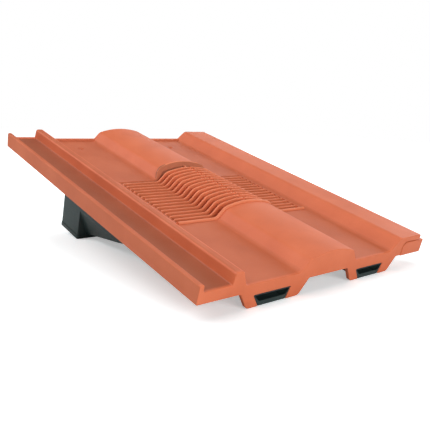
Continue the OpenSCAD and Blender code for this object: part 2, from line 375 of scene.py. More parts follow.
@dataclass(frozen=True)
class Profile:
    """Cross-section of the tile from the side skirt to the lip of the cover roll, in millimetres."""

    width: float = 330.0
    length: float = 420.0
    wall: float = 3.0
    side_lap: float = 30.0
    skirt_drop: float = 8.0
    outer_rib_w: float = 5.0
    outer_rib_h: float = 10.0
    channel_w: float = 31.0
    channel_z: float = 3.3
    inner_rib_top_w: float = 9.0
    inner_rib_h: float = 15.3
    inner_rib_draft: float = math.radians(9.0)
    inner_rib_lean: float = math.radians(22.0)
    inner_rib_fillet: float = 4.0
    roll_shift: float = 6.8
    roll_h: float = 17.8
    crown_r: float = 109.0
    crown_half: float = 28.5
    shoulder_r: float = 10.0
    flank_a: float = math.radians(57.0)
    left_shift: float = 3.0
    left_flank_a: float = math.radians(50.0)
    foot_hollow_r: float = 8.0
    cover_w: float = 56.0
    cover_h: float = 14.4
    cover_a: float = math.radians(45.0)
    crease_r: float = 8.0
    lip_h: float = 6.0
    rib_round: float = 1.3
    rib_shoulder: float = 3.0
    channel_round: float = 1.6
    edge_round: float = 0.8
    inside_round: float = 0.7
    pan_margin: float = 3.0
    lip_margin: float = 5.0
    # Painted shade: shares for the channel's floor, the pans, the rib tops and the skirt, the unshaded strip
    # at the inner rib's edge, the heights over which it fades, and the edges of its masks.
    pan_painted_shade: float = 0.42
    rib_top_painted_shade: float = 0.38
    skirt_painted_shade: float = 0.16
    rib_unshaded_w: float = 2.6
    pan_shade_rise: float = 4.0
    channel_shade_rise: float = 1.5
    shade_inset: float = 0.5
    top_band: float = 0.6
    top_slack: float = 0.1

    @property
    def channel_x(self) -> float:
        """Right edge of the channel's floor."""
        return self.outer_rib_w + self.channel_w

    @property
    def rib_left(self) -> float:
        """Left edge of the inner rib's top."""
        return self.channel_x + (self.inner_rib_h - self.channel_z) * math.tan(self.inner_rib_draft)

    @property
    def rib_right(self) -> float:
        """Right edge of the inner rib's top."""
        return self.rib_left + self.inner_rib_top_w

    @property
    def rib_foot(self) -> float:
        """Where the inner rib's leaning side meets the left pan."""
        return self.rib_right + self.inner_rib_h * math.tan(self.inner_rib_lean)

    @property
    def cover_x(self) -> float:
        """Foot of the cover roll."""
        return self.width - self.cover_w

    @property
    def roll_x(self) -> float:
        """Middle of the roll, between the cover roll and a rib with equal drafts."""
        draft = self.inner_rib_h * math.tan(self.inner_rib_draft)
        return (self.rib_right + draft + self.cover_x) / 2 + self.roll_shift

    @property
    def pan_pitch(self) -> float:
        """Distance between the middles of the two pans."""
        return (self.width - self.side_lap) / 2

    @property
    def lip_z(self) -> float:
        """Bottom of the cover roll's lip."""
        return self.cover_h - self.lip_h

    @property
    def under_start(self) -> float:
        """Where the underside starts to run level with the deck, beside the inner rib."""
        return self.rib_foot + self.pan_margin

    @property
    def under_end(self) -> float:
        """Where the underside stops running level with the deck, beside the lip."""
        return self.width - self.lip_margin

    def pan_x(self, pan: Pan) -> float:
        """Middle of a pan."""
        return self.roll_x + pan.value * self.pan_pitch / 2

    def painted_shade(self, points: Array) -> Array:
        """How much painted shade points of the upper side get: 1 on the channel's floor, a share on a pan, 0
        above.

        Above the floor f of the channel or a pan the value falls as 1 - smooth_step((z - f) / rise). The tops
        of the side ribs get a share of their own, up to a strip at the inner rib's right edge that is left
        unshaded and so stands out bright, and the skirt gets a share of its own. Points more than half a wall
        below a floor belong to the underside, and those before edge_round to the nose, and get 0.

        Args:
            points: Points of the tile frame.

        Returns:
            One value for each point.
        """
        x, y, z = points.T
        channel = (x > self.outer_rib_w - self.shade_inset) & (x < self.rib_left - self.shade_inset)
        pans = (x > self.rib_right + self.shade_inset) & (x < self.cover_x + self.cover_h)
        floor, rise = np.where(channel, [[self.channel_z], [self.channel_shade_rise]], [[0.0], [self.pan_shade_rise]])
        depth = np.where(channel, 1.0, np.where(pans, self.pan_painted_shade, 0.0))
        upper = (z > floor - self.wall / 2) & (y > self.edge_round)
        shade_end_x = self.rib_right - self.rib_unshaded_w
        outer_top = (x < self.outer_rib_w + self.top_slack) & (z > self.outer_rib_h - self.top_band)
        inner_top = (x < shade_end_x + self.top_slack) & (z > self.inner_rib_h - self.top_band)
        # Painted shade: darkest on the floors and fading out above them, then set on the rib tops and the
        # skirt.
        shade_share = np.where(upper, depth * (1 - smooth_step((z - floor) / rise)), 0.0)
        shade_share = np.where((outer_top | inner_top) & (y > self.edge_round), self.rib_top_painted_shade, shade_share)
        return np.where((x < self.top_slack) & ~outer_top, self.skirt_painted_shade, shade_share)

    def roll_corners(self) -> list[Corner]:
        """Corners of the roll: its foot, shoulder, apex, shoulder and foot.

        The crown is an arc of crown_r over crown_half to each side. A shoulder arc turns it into the flank,
        and the corner lies where the two tangents meet. The left shoulder lies left_shift further down the
        crown's tangent, and its flank is gentler.

        Returns:
            The five corners as (x, z, radius).
        """
        crown_a = math.asin(self.crown_half / self.crown_r)
        edge_z = self.roll_h - self.crown_r * (1 - math.cos(crown_a))
        apex_z = self.roll_h + self.crown_r * (1 / math.cos(crown_a) - 1)
        run = self.shoulder_r * math.tan((self.flank_a - crown_a) / 2)
        half = self.crown_half + run * math.cos(crown_a)
        shoulder_z = edge_z - run * math.sin(crown_a)
        base = half + shoulder_z / math.tan(self.flank_a)
        left_half = half + self.left_shift
        left_z = shoulder_z - self.left_shift * math.tan(crown_a)
        left_base = left_half + left_z / math.tan(self.left_flank_a)
        return [
            (self.roll_x - left_base, 0.0, self.foot_hollow_r),
            (self.roll_x - left_half, left_z, self.shoulder_r),
            (self.roll_x, apex_z, self.crown_r),
            (self.roll_x + half, shoulder_z, self.shoulder_r),
            (self.roll_x + base, 0.0, self.foot_hollow_r),
        ]

    def face(self, left_stations: Sequence[float], right_stations: Sequence[float]) -> Array:
        """Outer face from the skirt's inner bottom edge, over ribs, pans and rolls, to the lip's inner edge.

        Args:
            left_stations: Places on the left pan that need points of their own, from left to right.
            right_stations: The same on the right pan.

        Returns:
            The points of the face, as x and z.
        """
        crease_x = self.cover_x + self.cover_h / math.tan(self.cover_a)
        return rounded(
            [
                (self.wall, -self.skirt_drop, 0.0),
                (0.0, -self.skirt_drop, self.edge_round),
                (0.0, self.outer_rib_h, self.rib_round),
                (self.outer_rib_w, self.outer_rib_h, self.rib_round),
                (self.outer_rib_w, self.channel_z, self.channel_round),
                (self.channel_x, self.channel_z, self.channel_round),
                (self.rib_left, self.inner_rib_h, self.rib_shoulder),
                # Where the painted shade on the rib's top ends.
                (self.rib_right - self.rib_unshaded_w, self.inner_rib_h, 0.0),
                (self.rib_right, self.inner_rib_h, self.rib_shoulder),
                (self.rib_foot, 0.0, self.inner_rib_fillet),
                (self.under_start, 0.0, 0.0),
                *[(x, 0.0, 0.0) for x in left_stations],
                *self.roll_corners(),
                *[(x, 0.0, 0.0) for x in right_stations],
                (self.cover_x, 0.0, self.foot_hollow_r),
                (crease_x, self.cover_h, self.crease_r),
                (self.under_end, self.cover_h, 0.0),
                (self.width, self.cover_h, self.rib_round),
                (self.width, self.lip_z, self.edge_round),
                (self.width - self.wall, self.lip_z, 0.0),
            ]
        )

    def underside(self, deck: Array) -> tuple[Array, int]:
        """Inner face from the lip's inner edge back to the skirt's, a wall below the deck in between.

        Args:
            deck: Points of the underside below the deck, from under_start to under_end.

        Returns:
            The points of the inner face, as x and z, and the number of the deck's last point among them.
        """
        lip_x = self.width - self.wall
        lip_end = [
            (lip_x, self.lip_z, 0.0),
            (lip_x, self.cover_h - self.wall, self.inside_round),
            (deck[-1, 0], deck[-1, 1], 0.0),
        ]
        rib_top = self.inner_rib_h - self.wall
        rib_end = [
            (deck[0, 0], deck[0, 1], 0.0),
            (self.rib_foot - self.wall, -self.wall, self.inside_round),
            (self.rib_right - self.wall, rib_top, self.inside_round),
            (self.rib_left + self.wall, rib_top, self.inside_round),
            (self.channel_x + self.wall, -self.wall, self.inside_round),
            (self.channel_x, -self.wall, self.inside_round),
            (self.channel_x, self.channel_z - self.wall, self.inside_round),
            (self.wall, self.channel_z - self.wall, self.inside_round),
            (self.wall, -self.skirt_drop, 0.0),
        ]
        by_lip = rounded(lip_end)
        return np.concatenate([by_lip, deck[-2:0:-1], rounded(rib_end)]), len(by_lip) - 1


@dataclass(frozen=True)
class Window:
    """Opening in the deck that the grille fills, in millimetres."""

    y: float = 127.5
    reach: float = 22.0
    slat_count: int = 14
    slat_pitch: float = 8.15
    slat_start: float = 10.5
    slat_end: float = 7.0
    lean: float = math.radians(27.0)
    rim_round: float = 0.6

    @property
    def back_y(self) -> float:
        """Back edge of the window on the pans."""
        return self.y + self.slat_start + (self.slat_count - 1) * self.slat_pitch + self.slat_end

    def ends(self, profile: Profile) -> tuple[float, float]:
        """Left and right edge of the window."""
        half = profile.pan_pitch / 2 + self.reach
        return profile.roll_x - half, profile.roll_x + half


@dataclass(frozen=True)
class NailHole:
    """Nail hole near the head of each pan, whose countersink turns over at its edge, in millimetres."""

    radius: float = 2.5
    flare: float = 2.2
    sink: float = 1.1
    turn_out: float = 0.9
    turn_down: float = 0.4
    from_head: float = 39.0
    shift: float = -7.5
    field_half: float = 6.0
    field_steps: int = 8

    def x(self, profile: Profile, pan: Pan) -> float:
        """Middle of the hole across the tile."""
        return profile.pan_x(pan) + self.shift

    def y(self, profile: Profile) -> float:
        """Middle of the hole from the nose."""
        return profile.length - self.from_head

    def stations(self, middle: float) -> Array:
        """Grid lines of the square field round the hole, along one axis."""
        return middle + np.linspace(-self.field_half, self.field_half, self.field_steps + 1)

    def patch(self, x: float, y: float, wall: float) -> Array:
        """Rings from the square field on the deck, down the hole and out to the field on its underside.

        A ring's points lie at the angles of the field's border, so the rings join it point to point.

        Args:
            x: Middle of the hole across the tile.
            y: Middle of the hole from the nose.
            wall: Thickness of the deck.

        Returns:
            The rings as rows of points.
        """
        side = self.stations(0.0)[:-1]
        half = np.full_like(side, self.field_half)
        border = ((side, -half), (half, side), (-side, half), (-half, -side))
        field_ring = np.concatenate([np.stack(points, axis=-1) for points in border])
        round_ring = unit(field_ring)
        rings = [
            (field_ring, 0.0),
            (round_ring * (self.radius + self.flare), 0.0),
            (round_ring * (self.radius + self.turn_out * self.flare), -self.turn_down * self.sink),
            (round_ring * self.radius, -self.sink),
            (round_ring * self.radius, -wall),
            (field_ring, -wall),
        ]
        return np.stack([np.column_stack([ring + [x, y], np.full(len(ring), z)]) for ring, z in rings])


@dataclass(frozen=True)
class Nose:
    """Apron along the nose with its two feet, their mouths and the lap on the right, in millimetres."""

    thickness: float = 4.0
    drop: float = 8.0
    reach: float = 23.0
    lap_r: float = 7.0
    foot_top_w: float = 90.0
    foot_bottom_w: float = 68.0
    foot_drop: float = 25.0
    foot_r: float = 6.0
    foot_hollow_r: float = 2.0
    mouth_top_w: float = 49.0
    mouth_bottom_w: float = 36.0
    mouth_top: float = 12.0
    mouth_shift: float = -4.0
    mouth_skew: float = 2.5
    mouth_round: float = 0.9
    edge_round: float = 0.6

    def end_x(self, profile: Profile) -> float:
        """Right end of the apron."""
        return profile.cover_x + self.reach

    def mouth(self, profile: Profile, pan: Pan, gap: float, bottom: float, radius: float) -> list[Corner]:
        """Corners of a mouth from its lower right, over its top, to its lower left.

        The mouth's half width and its middle run in straight lines from its top to the foot's bottom, and a
        drawn-in outline keeps to them, less the gap.

        Args:
            profile: The tile's profile.
            pan: The pan whose foot holds the mouth.
            gap: How far the outline is drawn in.
            bottom: Height of the outline's bottom.
            radius: Radius of its corners.

        Returns:
            The four corners.
        """
        top = -self.mouth_top - gap
        share = (-np.array([bottom, top]) - self.mouth_top) / (self.foot_drop - self.mouth_top)
        middles = profile.pan_x(pan) + self.mouth_shift + self.mouth_skew * share
        halves = (self.mouth_top_w + (self.mouth_bottom_w - self.mouth_top_w) * share) / 2 - gap
        (low_left, top_left), (low_right, top_right) = middles - halves, middles + halves
        return [
            (low_right, bottom, radius),
            (top_right, top, radius),
            (top_left, top, radius),
            (low_left, bottom, radius),
        ]

    def lower_edge(self, profile: Profile) -> Array:
        """Lower outline of the nose, from the lip's inner edge on the right to the skirt's on the left.

        Args:
            profile: The tile's profile.

        Returns:
            The outline's points, as x and z.
        """
        corners: list[Corner] = [
            (profile.width - profile.wall, profile.lip_z, 0.0),
            (self.end_x(profile), profile.lip_z, self.lap_r),
            (self.end_x(profile), -self.drop, self.mouth_round),
        ]
        for pan in (Pan.RIGHT, Pan.LEFT):
            x = profile.pan_x(pan)
            top, low = self.foot_top_w / 2, self.foot_bottom_w / 2
            corners += [
                (x + top, -self.drop, self.foot_hollow_r),
                (x + low, -self.foot_drop, self.foot_r),
                *self.mouth(profile, pan, 0.0, -self.foot_drop, self.mouth_round),
                (x - low, -self.foot_drop, self.foot_r),
                (x - top, -self.drop, self.foot_hollow_r),
            ]
        return rounded([*corners, (profile.wall, -profile.skirt_drop, 0.0)])


def feed(tree: bpy.types.NodeTree, node: bpy.types.Node, inputs: Mapping[Any, Any]) -> None:
    """Joins or sets inputs of a node.

    Args:
        tree: The node's tree.
        node: The node.
        inputs: The output to join or the value to set, by the input's name or number.
    """
    for key, given in inputs.items():
        if isinstance(given, bpy.types.NodeSocket):
            tree.links.new(given, node.inputs[key])
        else:
            node.inputs[key].default_value = given


def add_node(
    tree: bpy.types.NodeTree, kind: str, inputs: Optional[Mapping[Any, Any]] = None, **options: str
) -> bpy.types.Node:
    """Adds a shader node.

    Args:
        tree: The tree that gets it.
        kind: Its type, without the leading ShaderNode.
        inputs: The output to join or the value to set, by the input's name or number.
        options: Values of the node's own options.

    Returns:
        The node.
    """
    node = tree.nodes.new("ShaderNode" + kind)
    for option, value in options.items():
        setattr(node, option, value)
    feed(tree, node, inputs or {})
    return node


def add_range(
    tree: bpy.types.NodeTree,
    value: bpy.types.NodeSocket,
    source: tuple[float, float],
    target: tuple[float, float],
    **options: str,
) -> bpy.types.NodeSocket:
    """Adds a node that takes a value from the source's range to the target's, and returns its output."""
    ends = dict(zip(("From Min", "From Max", "To Min", "To Max"), (*source, *target)))
    return add_node(tree, "MapRange", {"Value": value, **ends}, **options).outputs["Result"]


@dataclass(frozen=True)
class MouldedFinish:
    """Moulded plastic: a body colour that drifts a little, with a fine grain in its gloss and its skin,
    darkened by painted shade where its mesh asks for it.

    Colours are linear. Grain sizes are in metres.
    """

    name: str
    slot: Slot
    deep: Colour
    body: Colour
    pale: Colour
    roughness: tuple[float, float]
    specular: float
    drift_size: float
    grain_size: float
    grain_depth: float
    grain_strength: float
    # Colour that painted shade multiplies the finish by, standing in for shade in hollows.
    painted_shade_tone: Colour = (0.5, 0.54, 0.57)
    stops: tuple[float, float, float] = (0.42, 0.67, 0.92)
    speck: float = 0.35
    grain_range: tuple[float, float] = (0.3, 0.7)
    drift_octaves: float = 4.0
    grain_octaves: float = 3.0

    @cache
    def material(self) -> bpy.types.Material:
        """Makes the finish, once, as a node material on Object coordinates.

        Two noises drive it. A broad one drifts the colour between deep, body and pale, and a fine one breaks
        the gloss up and, as a height, roughens the skin. The mesh's painted shade attribute is the share by
        which the colour is multiplied with the shade colour, darkening it where shade falls.

        Returns:
            The material.
        """
        made = bpy.data.materials.new(self.name)
        made.use_nodes = True
        tree = made.node_tree
        place = add_node(tree, "TexCoord").outputs["Object"]
        waves = ((self.drift_size, self.drift_octaves), (self.grain_size, self.grain_octaves))
        drift, grain = (
            add_node(tree, "TexNoise", {"Vector": place, "Scale": 1 / size, "Detail": octaves}).outputs["Fac"]
            for size, octaves in waves
        )
        speck = add_node(tree, "Math", {0: grain, 1: self.speck, 2: drift}, operation="MULTIPLY_ADD")
        ramp = add_node(tree, "ValToRGB", {"Fac": speck.outputs[0]})
        ends = ramp.color_ramp.elements
        ends[0].position, ends[1].position = self.stops[0], self.stops[2]
        ends[0].color, ends[1].color = (*self.deep, 1.0), (*self.pale, 1.0)
        ends.new(self.stops[1]).color = (*self.body, 1.0)
        # Painted shade: the mesh's attribute darkens the colour towards the shade colour.
        shade_share = add_node(tree, "Attribute", attribute_name=PAINTED_SHADE).outputs["Fac"]
        shade_inputs = {"Factor": shade_share, "A": ramp.outputs["Color"], "B": (*self.painted_shade_tone, 1.0)}
        shade = add_node(tree, "Mix", data_type="RGBA", blend_type="MULTIPLY")
        feed(tree, shade, shade_inputs)
        relief = {"Strength": self.grain_strength, "Distance": self.grain_depth, "Height": grain}
        surface = {
            "Base Color": shade.outputs["Result"],
            "Roughness": add_range(tree, grain, self.grain_range, self.roughness),
            "Specular IOR Level": self.specular,
            "Normal": add_node(tree, "Bump", relief).outputs["Normal"],
        }
        feed(tree, tree.nodes["Principled BSDF"], surface)
        return made


TERRACOTTA = MouldedFinish(
    name="terracotta_plastic",
    slot=Slot.TERRACOTTA,
    deep=(0.595, 0.130, 0.048),
    body=(0.650, 0.147, 0.056),
    pale=(0.705, 0.172, 0.070),
    roughness=(0.52, 0.66),
    specular=0.42,
    drift_size=0.045,
    grain_size=0.0011,
    grain_depth=0.0002,
    grain_strength=0.35,
)
# Painted light: a lighter copy of the terracotta for the grille, brightening the slats' sides where their
# neighbours shade them.
LIT_LOUVRE_TERRACOTTA = replace(
    TERRACOTTA,
    name="louvre_terracotta_painted_light",
    deep=(0.68, 0.185, 0.078),
    body=(0.75, 0.210, 0.092),
    pale=(0.80, 0.235, 0.110),
)
DUCT_BLACK = MouldedFinish(
    name="duct_black_plastic",
    slot=Slot.DUCT_BLACK,
    deep=(0.016, 0.030, 0.029),
    body=(0.021, 0.037, 0.035),
    pale=(0.028, 0.046, 0.043),
    roughness=(0.42, 0.58),
    specular=0.45,
    drift_size=0.03,
    grain_size=0.0008,
    grain_depth=0.0001,
    grain_strength=0.25,
)


class Moulding(ABC):
    """A piece of the tile: a closed skin with a finish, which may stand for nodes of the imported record."""

    NAME: ClassVar[str]
    FINISH: ClassVar[MouldedFinish]
    NODES: ClassVar[tuple[str, ...]] = ()

    @abstractmethod
    def shell(self) -> Shell:
        """Works out the piece's closed skin."""

    def build(self, place: TilePlace) -> bpy.types.Object:
        """Builds the piece as a mesh object, where the tile lies."""
        return self.shell().build(self.NAME, place)

    def dress(self, piece: bpy.types.Object) -> None:
        """Gives the piece its finish and its body, and hides the imported nodes that it stands for.

        Args:
            piece: The piece as built.
        """
        piece.data.materials.append(self.FINISH.material())
        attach(piece, BODY)
        if self.NODES:
            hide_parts(*self.NODES)


@dataclass
class Deck(Moulding):
    """The tile's moulded deck and nose as one closed skin, in millimetres."""

    NAME = "tile_deck"
    FINISH = TERRACOTTA
    NODES = ("tile_body",)

    profile: Profile
    window: Window
    nose: Nose
    nail: NailHole
    bead_w: float = 7.0
    bead_h: float = 2.8
    channel_bead_h: float = 1.3
    bead_ramp: float = 1.8
    row_step: float = 30.0
    rows_to_nails: int = 4

    def __post_init__(self) -> None:
        """Works out the face, the underside and the numbers of the grid lines that edges follow."""
        p, w = self.profile, self.window
        left, right = w.ends(p)
        self.face = p.face(
            [left - w.rim_round, *self.nail.stations(self.nail.x(p, Pan.LEFT))],
            [*self.nail.stations(self.nail.x(p, Pan.RIGHT)), right + w.rim_round],
        )
        self.normals = path_normals(self.face, closed=False)
        self.deck = slice(self.column(p.under_start), self.column(p.under_end) + 1)
        self.opening = slice(self.column(left - w.rim_round), self.column(right + w.rim_round) + 1)
        lowered = self.face[self.deck] - p.wall * self.normals[self.deck]
        self.under, self.under_last = p.underside(lowered)
        self.lower = self.nose.lower_edge(p)

    def column(self, x: float) -> int:
        """Number of the face's point at x, on a level stretch."""
        return int(np.argmin(np.abs(self.face[:, 0] - x)))

    def rows(self) -> Array:
        """Places of the grid's rows behind the nose, from its back face to where the head's edge rounds.

        Returns:
            The places, in order.
        """
        p, w, nail_y = self.profile, self.window, self.nail.y(self.profile)
        front, back = w.y - w.rim_round, w.back_y + w.rim_round
        spans = [
            np.linspace(self.nose.thickness, front, math.ceil(front / self.row_step)),
            np.linspace(front, back, math.ceil((back - front) / self.row_step)),
            self.nail.stations(nail_y),
            np.linspace(back, nail_y - self.nail.field_half, self.rows_to_nails),
            p.length - self.bead_w + np.linspace(0.0, self.bead_ramp, ROUND_STEPS + 1),
            [p.length - self.nose.edge_round],
        ]
        return np.unique(np.round(np.concatenate(spans), ROW_DECIMALS))

    def leaning(self, y: Array, outline: Array, within: slice) -> Array:
        """Rows of an outline, with the window's back row moved along the lean of its back wall.

        On that row a point at height z lies z * tan(lean) further back, within the window's own columns.

        Args:
            y: Places of the rows.
            outline: The outline's points, as x and z.
            within: Columns of the window.

        Returns:
            Places of the points along the tile, as rows and columns.
        """
        places = np.repeat(y[:, None], len(outline), axis=1)
        back_row = int(np.argmin(np.abs(y - self.window.back_y - self.window.rim_round)))
        places[back_row, within] += outline[within, 1] * math.tan(self.window.lean)
        return places

    def beaded(self, y: Array) -> Array:
        """Heights of the face's rows, with the bead that lies on the channel and the pans along the head.

        The bead's top is a level that rises by a smooth step over bead_ramp, and the face is raised to it.

        Args:
            y: Places of the rows.

        Returns:
            Heights as rows and columns.
        """
        p = self.profile
        x, z = self.face[:, 0], self.face[:, 1]
        channel = (x > p.outer_rib_w - WELD_STEP) & (x < p.rib_left) & (z < p.outer_rib_h)
        pans = (x > p.rib_right) & (x < p.cover_x + p.cover_h)
        level = np.where(channel, p.channel_z, np.where(pans, 0.0, -np.inf))
        rise = smooth_step((y - p.length + self.bead_w) / self.bead_ramp)[:, None]
        lifted = level + rise * np.where(channel, self.channel_bead_h, self.bead_h)
        return np.where(rise > 0, np.maximum(z, lifted), z)

    def fields(self, y: Array) -> list[tuple[Mask, slice]]:
        """Fields that the grids leave open: the window's and the nail holes'.

        Args:
            y: Places of the rows.

        Returns:
            The rows of quads in each field, and its columns of points on the face.
        """
        p, w, n = self.profile, self.window, self.nail
        spans = [(w.y - w.rim_round, w.back_y + w.rim_round, self.opening)]
        for pan in Pan:
            x, middle = n.x(p, pan), n.y(p)
            columns = slice(self.column(x - n.field_half), self.column(x + n.field_half) + 1)
            spans.append((middle - n.field_half, middle + n.field_half, columns))
        starts = y[:-1] + WELD_STEP
        return [((starts > first) & (starts < last), columns) for first, last, columns in spans]

    def rim(self, y: Array) -> Array:
        """Rings round the window, from the deck's face over a rounded edge down to its underside.

        A ring at depth d follows the face lowered by d square to itself. It stands back from the opening by
        the round's own inset, at the top and again at the bottom.

        Args:
            y: Places of the deck's rows.

        Returns:
            The rings as rows of points.
        """
        p, w = self.profile, self.window
        left, right = w.ends(p)
        deep, back = edge_rows(w.rim_round)
        depths = np.concatenate([deep, p.wall - deep[::-1]])
        insets = np.concatenate([back, back[::-1]])
        face = self.face[self.opening] - depths[:, None, None] * self.normals[self.opening]
        face[:, 0, 0], face[:, -1, 0] = left - insets, right + insets
        sides = y[(y > w.y - w.rim_round - WELD_STEP) & (y < w.back_y + w.rim_round + WELD_STEP)]
        sides = np.repeat(sides[None, :], len(depths), axis=0)
        sides[:, 0], sides[:, -1] = w.y - insets, w.back_y + insets - depths * math.tan(w.lean)
        front = stand(face, (w.y - insets)[:, None])
        rear = stand(face, w.back_y + insets[:, None] + face[:, :, 1] * math.tan(w.lean))
        left_side, right_side = (
            np.stack(np.broadcast_arrays(face[:, end, None, 0], sides, face[:, end, None, 1]), axis=-1)
            for end in (0, -1)
        )
        return np.concatenate(
            [front[:, :-1], right_side[:, :-1], rear[:, :0:-1], left_side[:, :0:-1]], axis=1
        )

    def nose_grid(self) -> Array:
        """Rows of the whole outline at the nose, whose front edge is rounded.

        Returns:
            The rows of points: the face's and then the lower edge's.
        """
        loop = np.concatenate([self.face, self.lower[1:-1]])
        deep, inset = edge_rows(self.nose.edge_round)
        rows = loop - inset[:, None, None] * path_normals(loop, closed=True)
        return stand(np.concatenate([rows, loop[None]]), np.append(deep, self.nose.thickness)[:, None])

    def head_grid(self) -> Array:
        """Rows of the whole outline at the head, whose back edge is rounded.

        Returns:
            The rows of points: the face's and then the underside's.
        """
        face = np.column_stack([self.face[:, 0], self.beaded(np.array([self.profile.length]))[0]])
        loop = np.concatenate([face, self.under[1:-1]])
        deep, inset = edge_rows(self.nose.edge_round)
        rows = loop - inset[::-1, None, None] * path_normals(loop, closed=True)
        return stand(rows, self.profile.length - deep[::-1, None])

    def mirrored(self, columns: slice) -> slice:
        """Columns of the underside, which runs from right to left, below some columns of the face."""
        last = self.under_last + self.deck.stop
        return slice(last - columns.stop, last - columns.start)

    def shell(self) -> Shell:
        """Works out the closed skin: nose, head, face, underside, window rim and nail holes.

        Returns:
            The skin.
        """
        # The deck's points carry painted shade.
        p, shell = self.profile, Shell(shade_paint=self.profile.painted_shade)
        y, nose, head = self.rows(), self.nose_grid(), self.head_grid()
        shell.add_grid(nose, ring=True)
        shell.add_cap(nose[0, ::-1])
        shell.add_cap(np.concatenate([stand(self.lower, y[0]), stand(self.under[::-1], y[0])[1:-1]]))
        shell.add_grid(head, ring=True)
        shell.add_cap(head[-1])

        keep = np.ones((len(y) - 1, len(self.face) - 1), bool)
        under_keep = np.ones((len(y) - 1, len(self.under) - 1), bool)
        for rows, columns in self.fields(y):
            below = self.mirrored(columns)
            keep[rows, columns.start : columns.stop - 1] = False
            under_keep[rows, below.start : below.stop - 1] = False
        top_y = self.leaning(y, self.face, self.opening)
        under_y = self.leaning(y, self.under, self.mirrored(self.opening))
        top = np.stack(np.broadcast_arrays(self.face[:, 0], top_y, self.beaded(y)), axis=-1)
        shell.add_grid(top, keep)
        shell.add_grid(stand(np.broadcast_to(self.under, (*under_y.shape, 2)), under_y), under_keep)

        shell.add_grid(self.rim(y), ring=True)
        for pan in Pan:
            shell.add_grid(self.nail.patch(self.nail.x(p, pan), self.nail.y(p), p.wall), ring=True)
        return shell


